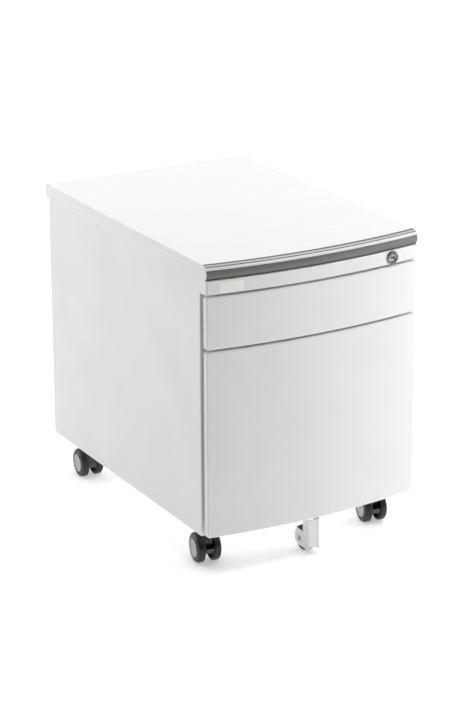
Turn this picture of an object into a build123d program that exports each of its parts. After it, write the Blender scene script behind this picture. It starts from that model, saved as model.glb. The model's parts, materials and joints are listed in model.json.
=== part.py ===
"""Mobile pedestal: a steel filing cabinet on four swivel castors, with a shallow top drawer, a deep file
drawer that carries its own anti-tip wheel, a central lock and a laminated board with a bowed nosing.

Frame: millimetres, +Z up, the front faces -Y, +X is the user's right. The origin is on the floor, under
the middle of the overall box. Each separate piece is written to parts/NODE.step.
"""
from build123d import *
import math
import os

# ---------------------------------------------------------------- driving dimensions
BOARD_WIDTH = 430.0
TOTAL_DEPTH = 634.0
TOTAL_HEIGHT = 572.0
BOARD_THICKNESS = 26.0
FRONT_SAGITTA = 19.0          # how far the nosing bows forward at the middle
FLOOR_CLEARANCE = 74.0        # floor to the lower edge of the side panels
SHEET = 1.0                   # steel sheet of the carcass and drawers
BOARD_OVERHANG_REAR = 10.0
NOSE_DEPTH = 14.5             # from the board's front edge to the tip of the nosing
NOSE_TIP_DROP = 14.8          # from the top surface down to the tip
NOSE_UNDERCUT = 5.5           # how far the nosing's lower edge sits behind its tip
INLAY_ANGLES = ((19.0, 34.0), (42.0, 64.0))   # where the strips lie on the upper curve, from the top
INLAY_DEPTH = 1.5
BAND = 1.5                    # thickness of the board's edge bands
FASCIA_HEIGHT = 25.5
FRONT_GAP = 3.5               # between the fascia and the drawer fronts
TOP_FRONT_HEIGHT = 94.7

# ---------------------------------------------------------------- places worked out from them
HALF_BOARD = BOARD_WIDTH / 2
HALF_CARCASS = HALF_BOARD - 1.0
Y_TIP = -TOTAL_DEPTH / 2      # foremost line of the nosing
Y_REAR = TOTAL_DEPTH / 2
BOW_RADIUS = (HALF_BOARD**2 + FRONT_SAGITTA**2) / (2 * FRONT_SAGITTA)
BOW_CENTRE_Y = Y_TIP + BOW_RADIUS
FACE_RADIUS = BOW_RADIUS - 1.0        # bowed face of the fascia and the drawer fronts
BOARD_TOP = TOTAL_HEIGHT
BOARD_BOTTOM = BOARD_TOP - BOARD_THICKNESS
CARCASS_BACK = Y_REAR - BOARD_OVERHANG_REAR
FACE_END_Y = BOW_CENTRE_Y - math.sqrt(FACE_RADIUS**2 - HALF_CARCASS**2)
RETURN_DEPTH = 10.0                   # depth of a drawer front at its ends
GRIP_DEPTH = 12.5                     # finger channel behind the ends of the drawer fronts
PAN_BACK_Y = FACE_END_Y + RETURN_DEPTH
FLANGE_Y = PAN_BACK_Y + GRIP_DEPTH    # front plane of the carcass
FASCIA_BOTTOM = BOARD_BOTTOM - FASCIA_HEIGHT
TOP_FRONT_TOP = FASCIA_BOTTOM - FRONT_GAP
TOP_FRONT_BOTTOM = TOP_FRONT_TOP - TOP_FRONT_HEIGHT
FILE_FRONT_TOP = TOP_FRONT_BOTTOM - FRONT_GAP
FILE_FRONT_BOTTOM = FLOOR_CLEARANCE + 3.0
BOTTOM_LIP = 17.0                     # height of the bottom panel's front flange
BOARD_SCREW_X = HALF_CARCASS - SHEET - 9.0
BOARD_SCREW_Y = (-215.0, 250.0)

# ---------------------------------------------------------------- drawers and runners
FLANGE_WIDTH = 22.0
RUNNER_FACE_X = HALF_CARCASS - FLANGE_WIDTH      # plane that the runners are screwed to
RUNNER_WIDTH = 12.7
HALF_BOX = RUNNER_FACE_X - RUNNER_WIDTH          # outside of a drawer's side wall
BOX_REAR_Y = 262.0
RUNNER_FRONT_Y = FLANGE_Y + 3.0
TOP_BOX_Z = (428.0, 498.0)
FILE_BOX_Z = (97.0, 345.0)
TOP_RUNNER_Z = 458.0
FILE_RUNNER_Z = 200.0
FILE_RAIL_X = 165.0                              # half the spacing of the suspension rails
HALF_LINER = RUNNER_FACE_X + 2.0

# ---------------------------------------------------------------- lock
LOCK_X = 155.0
LOCK_Z = BOARD_BOTTOM - 12.75
CRANK_RADIUS = 9.0
CRANK_Y = 279.0
BAR_Y = 284.5
BAR_THICKNESS = 3.0
BAR_X = (LOCK_X - 17.0, LOCK_X + 3.0)
BAR_GUIDE_Z = (500.0, 336.0)
HOOK_CLEARANCE = 2.0
TOP_CATCH_Z = 470.0
FILE_CATCH_Z = 300.0

# ---------------------------------------------------------------- castors
WHEEL_RADIUS = 27.5
WHEEL_INNER_X = 8.5
WHEEL_OUTER_X = 22.0
CASTOR_TRAIL = 11.0
CAP_RADIUS = 17.0
CAP_SEAT = 2.0                                   # depth of the seat that a hub cap sits in
CAP_PROUD = 1.6                                  # how far a hub cap stands out of the wheel
DRUM_RADIUS = 15.0                               # castor body round its axle
HOOD_RADIUS = 24.0                               # front of the hood, from the axle
HOOD_SLOPE = 48.0                                # where the hood's front turns back towards the stem
SOCKET_RADIUS = 11.0
CASTOR_X = 176.0
CASTOR_FRONT_Y = -211.5
CASTOR_REAR_Y = 251.5
STEM_RADIUS = 5.0
AXLE_RADIUS = 3.0
CASTOR_PLATE = 3.0                               # welded plate that takes a stem
RUNNING = 0.05                                   # radial clearance of a running fit
CASTORS = {                                      # name: (x, y, swivel angle in degrees)
    "front_left": (-CASTOR_X, CASTOR_FRONT_Y, -8.0),
    "front_right": (CASTOR_X, CASTOR_FRONT_Y, -8.5),
    "rear_left": (-CASTOR_X, CASTOR_REAR_Y, -3.0),
    "rear_right": (CASTOR_X, CASTOR_REAR_Y, -5.0),
}

# ---------------------------------------------------------------- anti-tip wheel
TIP_WHEEL_RADIUS = 23.0
TIP_WHEEL_WIDTH = 18.0
TIP_WHEEL_Y = -273.2
TIP_WHEEL_Z = TIP_WHEEL_RADIUS + 1.5             # it hangs 1.5 mm above the floor
TIP_BRACKET_Y = (-302.5, -257.0)
TIP_BRACKET_WIDTH = 24.0
TIP_SHEET = 2.0
TIP_CHEEK_Z = (10.5, 41.0)                       # lower edge of the cheeks, and the notch that shows the wheel


# ---------------------------------------------------------------- helpers
def block(x, y, z):
    """A box from three (low, high) pairs."""
    size = [high - low for low, high in (x, y, z)]
    middle = [(high + low) / 2 for low, high in (x, y, z)]
    return Pos(*middle) * Box(*size)


def rod(radius, start, end, axis="Z", at=(0.0, 0.0)):
    """A cylinder along an axis, from start to end; at gives its other two coordinates in X, Y, Z order."""
    body = Pos(0, 0, (start + end) / 2) * Cylinder(radius, end - start)
    if axis == "X":
        return Pos(0, at[0], at[1]) * (Rot(0, 90, 0) * body)
    if axis == "Y":
        return Pos(at[0], 0, at[1]) * (Rot(-90, 0, 0) * body)
    return Pos(at[0], at[1], 0) * body


def bow_y(radius, x):
    """Y of a bow arc of that radius at x."""
    return BOW_CENTRE_Y - math.sqrt(radius**2 - x**2)


def bowed_slab(radius, half_width, back_y, z):
    """A slab with a bowed front, straight sides and a flat back."""
    end_y = bow_y(radius, half_width)
    arc = ThreePointArc((-half_width, end_y), (0, bow_y(radius, 0)), (half_width, end_y))
    rest = Polyline((half_width, end_y), (half_width, back_y), (-half_width, back_y), (-half_width, end_y))
    return extrude(Plane.XY.offset(z[0]) * make_face([arc, rest]), z[1] - z[0])


def mirrored(shape):
    """The same shape on the other side of the YZ plane."""
    return mirror(shape, about=Plane.YZ)


def both_sides(shape):
    """A pair of separate solids, left and right."""
    return Compound(children=[*mirrored(shape).solids(), *shape.solids()])


def pan(radius, half_width, back_y, z, corner, edge):
    """A bowed sheet pan, open at the back: rounded corners, then one bend radius round the whole face."""
    slab = bowed_slab(radius, half_width, back_y, z)
    if corner:
        slab = fillet(slab.edges().filter_by(Axis.Y), corner)
    face = slab.faces().filter_by(GeomType.CYLINDER).sort_by(Axis.Y)[0]
    slab = fillet(face.edges(), edge)
    back = slab.faces().sort_by(Axis.Y)[-1]
    return offset(slab, amount=-SHEET, openings=back)


# ---------------------------------------------------------------- carcass
def side_panel():
    """Right side panel: skin, front flange with an inner return, rear, top and bottom flanges, and the
    tongue that closes the fascia's end."""
    outer, inner = HALF_CARCASS, HALF_CARCASS - SHEET
    low, high = FLOOR_CLEARANCE, BOARD_BOTTOM
    flange_z = (low + BOTTOM_LIP, FASCIA_BOTTOM)
    skin = block((inner, outer), (FLANGE_Y, CARCASS_BACK), (low, high))
    tongue = block((inner, outer), (FACE_END_Y + 1.0, FLANGE_Y), (FASCIA_BOTTOM, high))
    front = block((RUNNER_FACE_X, inner), (FLANGE_Y, FLANGE_Y + SHEET), flange_z)
    inner_return = block((RUNNER_FACE_X, RUNNER_FACE_X + SHEET), (FLANGE_Y, FLANGE_Y + 20.0), flange_z)
    rear = block((inner - 18.0, inner), (CARCASS_BACK - SHEET, CARCASS_BACK), (low, high))
    top = block((inner - 18.0, inner), (FLANGE_Y + 2.0, CARCASS_BACK), (high - SHEET, high))
    bottom = block((inner - 14.0, inner), (FLANGE_Y + 2.0, CARCASS_BACK), (low, low + SHEET))
    panel = skin + tongue + front + inner_return + rear + top + bottom
    bend = [
        e
        for e in panel.edges().filter_by(Axis.Z)
        if abs(e.center().X - outer) < 0.1 and abs(e.center().Y - FLANGE_Y) < 0.1
    ]
    panel = fillet(bend, 0.9)
    screws = [rod(2.2, high - 3, high + 1, "Z", (inner - 9.0, y)) for y in BOARD_SCREW_Y]
    for hole in screws:
        panel = panel - hole
    return panel


def back_panel():
    """Back panel with a top flange and the two blocks that guide the locking bar."""
    width = HALF_CARCASS - SHEET - 0.2
    y = (CARCASS_BACK - 2 * SHEET, CARCASS_BACK - SHEET)
    panel = block((-width, width), y, (FLOOR_CLEARANCE + SHEET, BOARD_BOTTOM - 1.2))
    flange = block((-width + 19, width - 19), (y[0] - 20.0, y[1]), (BOARD_BOTTOM - 2.2, BOARD_BOTTOM - 1.2))
    panel = panel + (flange - block((BAR_X[0] - 6, BAR_X[1] + 6), (y[0] - 21, y[0]), (540.0, 550.0)))
    for z in BAR_GUIDE_Z:
        guide = block((BAR_X[0] - 5, BAR_X[1] + 5), (BAR_Y - 2.2, y[0]), (z - 6, z + 6))
        channel = block(
            (BAR_X[0] - 0.3, BAR_X[1] + 0.3),
            (BAR_Y - 0.3, BAR_Y + BAR_THICKNESS + 0.3),
            (z - 7, z + 7),
        )
        panel = panel + (guide - channel)
    return panel


def bottom_panel():
    """Bottom panel with its front flange and four welded plates that take the castor stems."""
    width = HALF_CARCASS - SHEET
    z = (FLOOR_CLEARANCE + SHEET, FLOOR_CLEARANCE + 2 * SHEET)
    back = CARCASS_BACK - 2 * SHEET
    panel = block((-width + 0.2, width - 0.2), (FLANGE_Y + SHEET, back), z)
    lip = block((-width, width), (FLANGE_Y, FLANGE_Y + SHEET), (FLOOR_CLEARANCE, FLOOR_CLEARANCE + BOTTOM_LIP))
    panel = panel + lip
    for x, y, _ in CASTORS.values():
        plate = block((x - 28, x + 28), (y - 25, y + 25), (z[1], z[1] + CASTOR_PLATE))
        panel = (panel + plate) - rod(STEM_RADIUS + 0.1, z[0] - 1, z[1] + 4, "Z", (x, y))
    return panel


def front_rail():
    """Channel behind the fascia that ties the side panels, with a hole for the lock's rod."""
    width = HALF_CARCASS - SHEET - 0.2
    y, z = FLANGE_Y + 0.5, (FASCIA_BOTTOM + 1.0, BOARD_BOTTOM - SHEET - 0.1)
    web = block((-width, width), (y, y + SHEET), z)
    lower = block((-width, width), (y, y + 18), (z[0], z[0] + SHEET))
    upper = block((-width, width), (y, y + 18), (z[1] - SHEET, z[1]))
    return web + lower + upper - rod(9.5, y - 2, y + 3, "Y", (LOCK_X, LOCK_Z))


def rear_post():
    """Right hat-section post that carries the rear ends of the outer runners."""
    inner = HALF_CARCASS - SHEET
    z = (FLOOR_CLEARANCE + 2 * SHEET + CASTOR_PLATE, TOP_BOX_Z[1] + 4.0)
    face = block((RUNNER_FACE_X, RUNNER_FACE_X + SHEET), (230.0, 258.0), z)
    legs = [block((RUNNER_FACE_X, inner), (y, y + SHEET), z) for y in (230.0, 257.0)]
    feet = [block((inner - SHEET, inner), y, z) for y in ((220.0, 231.0), (257.0, 268.0))]
    return face + legs + feet


def fascia():
    """Bowed lock rail between the tongues of the side panels, open at the back."""
    half = HALF_CARCASS - SHEET - 0.3
    shell = pan(FACE_RADIUS, half, FLANGE_Y + 0.5, (FASCIA_BOTTOM, BOARD_BOTTOM - 0.2), 0, 1.8)
    return shell - rod(9.2, -312, -285, "Y", (LOCK_X, LOCK_Z))


# ---------------------------------------------------------------- laminated board
def nose_point(angle, scale=1.0):
    """Radius and height of a point on the nosing's upper curve, at an angle from the top surface."""
    a = math.radians(angle)
    out = NOSE_DEPTH * scale * math.sin(a)
    up = NOSE_TIP_DROP * scale * math.cos(a)
    return (BOW_RADIUS - NOSE_DEPTH + out, BOARD_TOP - NOSE_TIP_DROP + up)


def nose_face():
    """The nosing's section: a quarter ellipse down to the tip, then a gentle curve back underneath."""
    back = BOW_RADIUS - NOSE_DEPTH
    tip = nose_point(90)
    upper = EllipticalCenterArc((back, tip[1]), NOSE_DEPTH, NOSE_TIP_DROP, arc_size=90)
    low_front = (BOW_RADIUS - NOSE_UNDERCUT, BOARD_BOTTOM)
    lower = ThreePointArc(tip, (BOW_RADIUS - 1.2, (tip[1] + BOARD_BOTTOM) / 2), low_front)
    rest = Polyline(low_front, (back, BOARD_BOTTOM), (back, BOARD_TOP))
    return make_face([upper, lower, rest])


def inlay_face(angles):
    """Section of a strip let into the upper curve between two angles."""
    inner = 1.0 - INLAY_DEPTH / NOSE_DEPTH
    corners = [nose_point(angle, scale) for angle, scale in (
        (angles[0], inner), (angles[0], 1.4), (angles[1], 1.4), (angles[1], inner)
    )]
    wedge = make_face(Polyline(*corners, close=True))
    return nose_face() & wedge


def swept(section, x_from, x_to):
    """A section carried round the bow and cut off between two x planes."""
    turned = revolve(Plane.XZ * section, Axis.Z, 30)
    turned = Pos(0, BOW_CENTRE_Y, 0) * (Rot(0, 0, -90 - 15) * turned)
    return turned & block((x_from, x_to), (Y_TIP - 10, Y_TIP + 80), (BOARD_BOTTOM - 5, BOARD_TOP + 5))


def board():
    """Chipboard core with its laminate, inside the edge bands, with pilot holes for its screws."""
    half = HALF_BOARD - BAND
    core = bowed_slab(BOW_RADIUS - NOSE_DEPTH, half, Y_REAR - BAND, (BOARD_BOTTOM, BOARD_TOP))
    for x in (-1, 1):
        for y in BOARD_SCREW_Y:
            core = core - rod(2.0, BOARD_BOTTOM - 1, BOARD_BOTTOM + 16, "Z", (x * BOARD_SCREW_X, y))
    return core


def edge_bands():
    """Rear band and the two side bands, whose front ends carry the nosing's outline."""
    z = (BOARD_BOTTOM, BOARD_TOP)
    rear = block((-HALF_BOARD, HALF_BOARD), (Y_REAR - BAND, Y_REAR), z)
    sides = []
    for low, high in ((-HALF_BOARD, BAND - HALF_BOARD), (HALF_BOARD - BAND, HALF_BOARD)):
        front = bow_y(BOW_RADIUS - NOSE_DEPTH, HALF_BOARD)
        straight = block((low, high), (front + 0.5, Y_REAR - BAND), z)
        sides.append(straight + swept(nose_face(), low, high))
    return Compound(children=[rear, *[s for side in sides for s in side.solids()]])


def nosing_profile():
    """The grey nosing between the side bands, with grooves that hold the inlays."""
    section = nose_face()
    for angles in INLAY_ANGLES:
        section = section - inlay_face(angles)
    return swept(section, BAND - HALF_BOARD, HALF_BOARD - BAND)


def nosing_inlays():
    """The two strips in the nosing's grooves."""
    strips = [swept(inlay_face(angles), BAND - HALF_BOARD, HALF_BOARD - BAND) for angles in INLAY_ANGLES]
    return Compound(children=[s for strip in strips for s in strip.solids()])


def board_screw(x, y):
    """Pan-head screw driven up through a side panel's top flange."""
    head = rod(4.0, BOARD_BOTTOM - SHEET - 2.4, BOARD_BOTTOM - SHEET, "Z", (x, y))
    return head + rod(2.0, BOARD_BOTTOM - SHEET - 1, BOARD_BOTTOM + 15, "Z", (x, y))


# ---------------------------------------------------------------- lock
def lock_housing():
    """Bezel that fits the bowed face, and the barrel behind it, bored for the core."""
    bezel = rod(12.0, -309.5, -296.0, "Y", (LOCK_X, LOCK_Z))
    bezel = fillet(bezel.faces().sort_by(Axis.Y)[0].edges(), 1.2)
    bezel = bezel - (Pos(0, BOW_CENTRE_Y, LOCK_Z) * Cylinder(FACE_RADIUS, 60))
    barrel = rod(9.0, -306.0, -273.0, "Y", (LOCK_X, LOCK_Z))
    return bezel + barrel - rod(6.5 + RUNNING, -312, -270, "Y", (LOCK_X, LOCK_Z))


def lock_nut():
    """Hexagon nut that clamps the housing behind the fascia."""
    hexagon = extrude(Plane.XZ.offset(296.0) * RegularPolygon(12.5, 6), 4.5)
    nut = Pos(LOCK_X, 0, LOCK_Z) * hexagon
    return nut - rod(9.0, -310, -280, "Y", (LOCK_X, LOCK_Z))


def lock_core():
    """The plug that the key turns: a dished face with the keyway across it."""
    face = -308.7
    plug = rod(6.5, face, -268.0, "Y", (LOCK_X, LOCK_Z))
    plug = plug - rod(4.4, face - 1, face + 1.2, "Y", (LOCK_X, LOCK_Z))
    keyway = block((LOCK_X - 4.0, LOCK_X + 4.0), (face - 1, -292), (LOCK_Z - 1.6, LOCK_Z + 1.6))
    return plug - keyway


def lock_rod():
    """Rod from the plug to the back, with a crank arm and pin that lift the locking bar."""
    shaft = rod(3.0, -268.0, CRANK_Y + 4, "Y", (LOCK_X, LOCK_Z))
    reach = CRANK_RADIUS / math.sqrt(2)
    arm = rod(4.5, CRANK_Y, CRANK_Y + 4, "Y", (LOCK_X, LOCK_Z))
    arm = arm + rod(3.5, CRANK_Y, CRANK_Y + 4, "Y", (LOCK_X - reach, LOCK_Z - reach))
    web = Pos(LOCK_X - reach / 2, CRANK_Y + 2, LOCK_Z - reach / 2) * (
        Rot(0, -45, 0) * Box(CRANK_RADIUS, 4, 6)
    )
    pin = rod(2.0, CRANK_Y + 3, BAR_Y + BAR_THICKNESS + 1.5, "Y", (LOCK_X - reach, LOCK_Z - reach))
    return shaft + arm + web + pin


def lock_bar():
    """Vertical bar with a slot for the crank pin and a hook for each drawer's catch."""
    pin_z = LOCK_Z - CRANK_RADIUS / math.sqrt(2)
    y = (BAR_Y, BAR_Y + BAR_THICKNESS)
    bar = block(BAR_X, y, (FILE_CATCH_Z - 22.0, pin_z + 4.6))
    bar = bar - block((LOCK_X - 11.6, LOCK_X - 3.7), (y[0] - 1, y[1] + 1), (pin_z - 2.35, pin_z + 2.35))
    middle = (BAR_X[0] + BAR_X[1]) / 2
    for catch_z in (TOP_CATCH_Z, FILE_CATCH_Z):
        finger_top = catch_z - HOOK_CLEARANCE
        arm = block((middle - 5, middle + 5), (272.0, y[0]), (finger_top - 18, finger_top - 14))
        finger = block((middle - 5, middle + 5), (272.0, 276.0), (finger_top - 18, finger_top))
        bar = bar + arm + finger
    return bar


def drawer_catch(z):
    """Bracket on a drawer's rear wall, with the window that the bar's finger rises into."""
    middle = (BAR_X[0] + BAR_X[1]) / 2
    plate = block((middle - 12, middle + 12), (BOX_REAR_Y, 281.0), (z, z + 2))
    foot = block((middle - 12, middle + 12), (BOX_REAR_Y, BOX_REAR_Y + 2), (z, z + 22))
    return plate + foot - block((middle - 7, middle + 7), (269.5, 278.5), (z - 1, z + 3))


# ---------------------------------------------------------------- drawers
def drawer_box(z):
    """Folded tray: bottom, two sides and a back; the liner of the front closes it."""
    outer = block((-HALF_BOX, HALF_BOX), (PAN_BACK_Y, BOX_REAR_Y), z)
    inner = block(
        (SHEET - HALF_BOX, HALF_BOX - SHEET),
        (PAN_BACK_Y - 1, BOX_REAR_Y - SHEET),
        (z[0] + SHEET, z[1] + 1),
    )
    return outer - inner


def drawer_liner(z):
    """Flat sheet that closes the back of a drawer front, short of its ends so fingers can hook in."""
    return block((-HALF_LINER, HALF_LINER), (PAN_BACK_Y - SHEET, PAN_BACK_Y), (z[0] + 1.2, z[1] - 1.2))


def file_rail():
    """Right suspension rail for hanging files, fixed inside the box's side wall."""
    wall = HALF_BOX - SHEET
    y = (PAN_BACK_Y + 1.0, BOX_REAR_Y - SHEET - 1.0)
    top = FILE_BOX_Z[1]
    leg = block((wall - 1.2, wall), y, (top - 20, top + 1.2))
    shelf = block((FILE_RAIL_X, wall), y, (top, top + 1.2))
    upstand = block((FILE_RAIL_X, FILE_RAIL_X + 1.5), y, (top, top + 12))
    return leg + shelf + upstand


# Runner sections, from the carcass side inwards: web (start, end) from the mounting plane, half height,
# flange thickness and where the flange ends.
RUNNER_SECTION = {
    "outer": {"web": (0.0, 1.2), "half": 22.5, "flange": 2.5, "reach": 10.4},
    "middle": {"web": (2.4, 3.6), "half": 19.5, "flange": 3.0, "reach": 10.4},
    "inner": {"web": (RUNNER_WIDTH - 1.2, RUNNER_WIDTH), "half": 16.0, "flange": 2.8, "reach": 4.8},
}


def runner(member, z, length):
    """Right runner member of a ball-bearing slide; its flanges are as thick as their rolled races."""
    s = RUNNER_SECTION[member]
    y = (RUNNER_FRONT_Y, RUNNER_FRONT_Y + length)
    near, far = RUNNER_FACE_X - s["web"][0], RUNNER_FACE_X - s["web"][1]
    flange_x = sorted((near, RUNNER_FACE_X - s["reach"]))
    if member == "inner":
        flange_x = sorted((far, RUNNER_FACE_X - s["reach"]))
    shape = block((far, near), y, (z - s["half"], z + s["half"]))
    for low, high in ((-s["half"], s["flange"] - s["half"]), (s["half"] - s["flange"], s["half"])):
        shape = shape + block(flange_x, y, (z + low, z + high))
    return shape


# ---------------------------------------------------------------- anti-tip wheel
def tip_bracket():
    """Folded bracket under the file drawer's front: front plate, two cheeks and a top plate."""
    front, rear = TIP_BRACKET_Y
    low, notch = TIP_CHEEK_Z
    half, t = TIP_BRACKET_WIDTH / 2, TIP_SHEET
    leg_back = front + 18.5
    outline = Polyline(
        (front, low), (front, FILE_FRONT_BOTTOM), (leg_back, FILE_FRONT_BOTTOM), (leg_back, notch),
        (rear - 6.5, notch), (rear, notch - 8), (rear, low + 6.5), (rear - 11, low), close=True,
    )
    cheek = extrude(Plane.YZ * make_face(outline), t)
    cheeks = (Pos(half - t, 0, 0) * cheek) + (Pos(-half, 0, 0) * cheek)
    plate = block((-half, half), (front, front + t), (low + 5.0, FILE_FRONT_BOTTOM - 9.0))
    top = block((-half, half), (front + 3 * t, leg_back), (FILE_FRONT_BOTTOM - t, FILE_FRONT_BOTTOM))
    bracket = cheeks + plate + top
    bends = bracket.edges().filter_by(Axis.Z).group_by(Axis.Y)[0]
    bracket = fillet([edge for edge in bends if abs(edge.center().X) > half - 0.1], 1.8)
    return bracket - rod(AXLE_RADIUS, -20, 20, "X", (TIP_WHEEL_Y, TIP_WHEEL_Z))


def tip_wheel():
    """Solid roller on a running fit."""
    half = TIP_WHEEL_WIDTH / 2
    wheel = rod(TIP_WHEEL_RADIUS, -half, half, "X", (TIP_WHEEL_Y, TIP_WHEEL_Z))
    wheel = fillet(wheel.edges().filter_by(GeomType.CIRCLE), 4.0)
    return wheel - rod(AXLE_RADIUS + RUNNING, -20, 20, "X", (TIP_WHEEL_Y, TIP_WHEEL_Z))


def tip_axle():
    """Rivet through both cheeks, with a head on each side."""
    half = TIP_BRACKET_WIDTH / 2
    at = (TIP_WHEEL_Y, TIP_WHEEL_Z)
    heads = [fillet(rod(5.2, x, x + 1.6, "X", at).edges().filter_by(GeomType.CIRCLE), 0.6)
             for x in (-half - 1.6, half)]
    return rod(AXLE_RADIUS, -half - 0.5, half + 0.5, "X", at) + heads


# ---------------------------------------------------------------- castors, in their own frame
def placed(shape, castor):
    """Turns a castor piece by its swivel angle and puts it at its place."""
    x, y, angle = CASTORS[castor]
    return Pos(x, y, 0) * (Rot(0, 0, angle) * shape)


def castor_stem():
    """Stem with the collar under the bottom panel and the nut above it; it doesn't turn."""
    low, top = FLOOR_CLEARANCE + SHEET, FLOOR_CLEARANCE + 2 * SHEET + CASTOR_PLATE
    stem = rod(STEM_RADIUS, 36.0, top + 9)
    collar = rod(9.0, low - 4.0, low)
    nut = Pos(0, 0, top) * extrude(RegularPolygon(9.5, 6), 6.0)
    return stem + collar + nut


def castor_body():
    """Swivelling body between the wheels: a drum round the axle, a hood over its front and the stem's socket."""
    z, y = WHEEL_RADIUS, -CASTOR_TRAIL
    half = WHEEL_INNER_X - 0.7
    hood_top = 2 * WHEEL_RADIUS + 2.6
    hood_front = y - HOOD_RADIUS * math.cos(math.radians(HOOD_SLOPE))
    hood_high = z + HOOD_RADIUS * math.sin(math.radians(HOOD_SLOPE))
    outline = Polyline(
        (y, z - 6.0), (y - HOOD_RADIUS + 1.5, z - 6.0), (y - HOOD_RADIUS, z - 4.5), (y - HOOD_RADIUS, z + 3.0),
        (hood_front, hood_high), (-9.0, hood_top), (SOCKET_RADIUS, hood_top), (y + DRUM_RADIUS, z), close=True,
    )
    hood = Pos(-half, 0, 0) * extrude(Plane.YZ * make_face(outline), 2 * half)
    drum = rod(DRUM_RADIUS, -half, half, "X", (y, z))
    socket = rod(SOCKET_RADIUS, hood_top, 69.0)
    body = drum + hood + socket
    body = body - rod(STEM_RADIUS + RUNNING, 34.0, 80.0)
    return body - rod(AXLE_RADIUS, -30, 30, "X", (y, z))


def castor_axle():
    """Steel axle, pressed into the body, with the wheels running on its ends."""
    reach = WHEEL_OUTER_X - 4.0
    return rod(AXLE_RADIUS, -reach, reach, "X", (-CASTOR_TRAIL, WHEEL_RADIUS))


def castor_wheel():
    """Right wheel: rounded tread, a seat for the cap outside and an open web inside."""
    at = (-CASTOR_TRAIL, WHEEL_RADIUS)
    wheel = rod(WHEEL_RADIUS, WHEEL_INNER_X, WHEEL_OUTER_X, "X", at)
    rims = wheel.edges().filter_by(GeomType.CIRCLE).sort_by(Axis.X)
    wheel = fillet(rims[-1], 5.0)
    rims = wheel.edges().filter_by(GeomType.CIRCLE).sort_by(Axis.X)
    wheel = fillet(rims[0], 2.5)
    wheel = wheel - rod(CAP_RADIUS + 0.2, WHEEL_OUTER_X - CAP_SEAT, WHEEL_OUTER_X + 1, "X", at)
    hollow = rod(22.0, WHEEL_INNER_X - 1, WHEEL_INNER_X + 6, "X", at)
    hollow = hollow - rod(7.0, WHEEL_INNER_X - 2, WHEEL_INNER_X + 7, "X", at)
    wheel = wheel - hollow
    return wheel - rod(AXLE_RADIUS + RUNNING, 0, WHEEL_OUTER_X - 3.9, "X", at)


def castor_cap():
    """Right hub cap: a disc with a raised rim and a shallow dished middle."""
    at = (-CASTOR_TRAIL, WHEEL_RADIUS)
    seat, face = WHEEL_OUTER_X - CAP_SEAT, WHEEL_OUTER_X + CAP_PROUD
    cap = rod(CAP_RADIUS, seat, face, "X", at)
    cap = fillet(cap.edges().filter_by(GeomType.CIRCLE).sort_by(Axis.X)[-1], 0.8)
    return cap - rod(CAP_RADIUS - 2.4, face - 1.0, face + 1, "X", at)


# ---------------------------------------------------------------- the assembly
def build():
    """Every node's name with its shape."""
    parts = {}
    parts["right_side_panel"] = side_panel()
    parts["left_side_panel"] = mirrored(parts["right_side_panel"])
    parts["back_panel"] = back_panel()
    parts["bottom_panel"] = bottom_panel()
    parts["front_rail"] = front_rail()
    parts["rear_posts"] = both_sides(rear_post())
    parts["fascia"] = fascia()

    parts["top_board"] = board()
    parts["board_edge_bands"] = edge_bands()
    parts["nosing_profile"] = nosing_profile()
    parts["nosing_inlays"] = nosing_inlays()
    screws = [board_screw(x * BOARD_SCREW_X, y) for x in (-1, 1) for y in BOARD_SCREW_Y]
    parts["board_screws"] = Compound(children=[s for screw in screws for s in screw.solids()])

    parts["lock_housing"] = lock_housing()
    parts["lock_nut"] = lock_nut()
    parts["lock_core"] = lock_core()
    parts["lock_rod"] = lock_rod()
    parts["lock_bar"] = lock_bar()

    drawers = {
        "top": ((TOP_FRONT_BOTTOM, TOP_FRONT_TOP), TOP_BOX_Z, TOP_RUNNER_Z, TOP_CATCH_Z),
        "file": ((FILE_FRONT_BOTTOM, FILE_FRONT_TOP), FILE_BOX_Z, FILE_RUNNER_Z, FILE_CATCH_Z),
    }
    runner_length = BOX_REAR_Y - RUNNER_FRONT_Y
    for name, (front_z, box_z, runner_z, catch_z) in drawers.items():
        parts[f"{name}_drawer_front"] = pan(FACE_RADIUS, HALF_CARCASS, PAN_BACK_Y, front_z, 5.5, 3.2)
        parts[f"{name}_drawer_liner"] = drawer_liner(front_z)
        parts[f"{name}_drawer_box"] = drawer_box(box_z)
        parts[f"{name}_drawer_catch"] = drawer_catch(catch_z)
        for member in RUNNER_SECTION:
            parts[f"{name}_runner_{member}"] = both_sides(runner(member, runner_z, runner_length))
    parts["file_rails"] = both_sides(file_rail())

    parts["tip_bracket"] = tip_bracket()
    parts["tip_wheel"] = tip_wheel()
    parts["tip_axle"] = tip_axle()

    stems = [placed(castor_stem(), castor) for castor in CASTORS]
    parts["castor_stems"] = Compound(children=[s for stem in stems for s in stem.solids()])
    for castor in CASTORS:
        parts[f"castor_{castor}_body"] = placed(castor_body(), castor)
        parts[f"castor_{castor}_axle"] = placed(castor_axle(), castor)
        for side, shape_of in (("wheel", castor_wheel), ("cap", castor_cap)):
            right = shape_of()
            parts[f"castor_{castor}_{side}_r"] = placed(right, castor)
            parts[f"castor_{castor}_{side}_l"] = placed(mirrored(right), castor)
    return parts


if __name__ == "__main__":
    os.makedirs("parts", exist_ok=True)
    for node, shape in build().items():
        export_step(shape, f"parts/{node}.step")
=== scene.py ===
import json
import math

import bmesh
import bpy
import numpy as np
from mathutils import Matrix, Vector


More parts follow.
